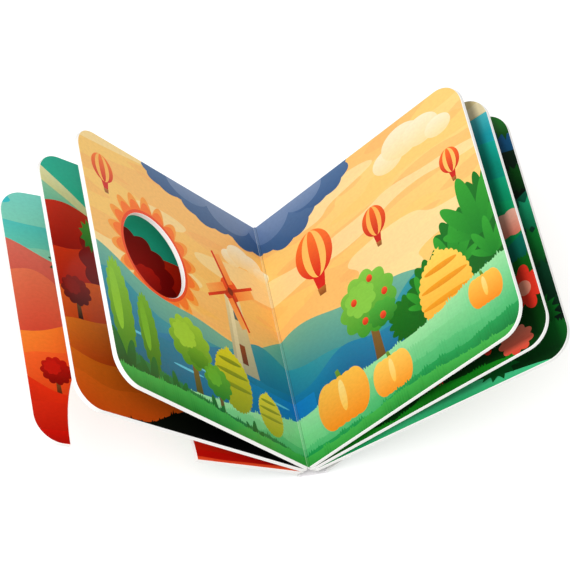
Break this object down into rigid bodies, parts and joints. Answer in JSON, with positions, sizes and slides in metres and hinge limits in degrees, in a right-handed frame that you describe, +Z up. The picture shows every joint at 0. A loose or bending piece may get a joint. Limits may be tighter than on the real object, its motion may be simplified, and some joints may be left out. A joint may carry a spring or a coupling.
{
  "type": "board book",
  "caption": "Square children's board book standing on its spine, its thick card pages fanned open, with a round peep hole in a page and an arch cut in the front cover.",
  "frame": {"origin": "middle of the flat underside of the spine, which the book stands on", "axes": "+Z up out of the spine, +Y from the foot of the pages to their head, +X towards the back cover"},
  "size_m": [0.2675, 0.15, 0.1251],
  "materials": {
    "front_cover_board": "gloss",
    "back_cover_board": "gloss",
    "page_board": "gloss",
    "spine_sheet": "satin"
  },
  "bodies": {
    "book_block": {"pages": "page_board", "spine": "spine_sheet"},
    "front_cover": {"front_cover": "front_cover_board"},
    "back_cover": {"back_cover": "back_cover_board"}
  },
  "joints": [
    {"name": "front_cover_fold", "type": "hinge", "parent": "book_block", "child": "front_cover", "pos_m": [-0.00633, 0, 0.0053], "axis": [0, -1, 0], "range_deg": [-12.5, 27.8]},
    {"name": "back_cover_fold", "type": "hinge", "parent": "book_block", "child": "back_cover", "pos_m": [0.00082, 0, 0.00536], "axis": [0, 1, 0], "range_deg": [-6.8, 35.6]}
  ]
}
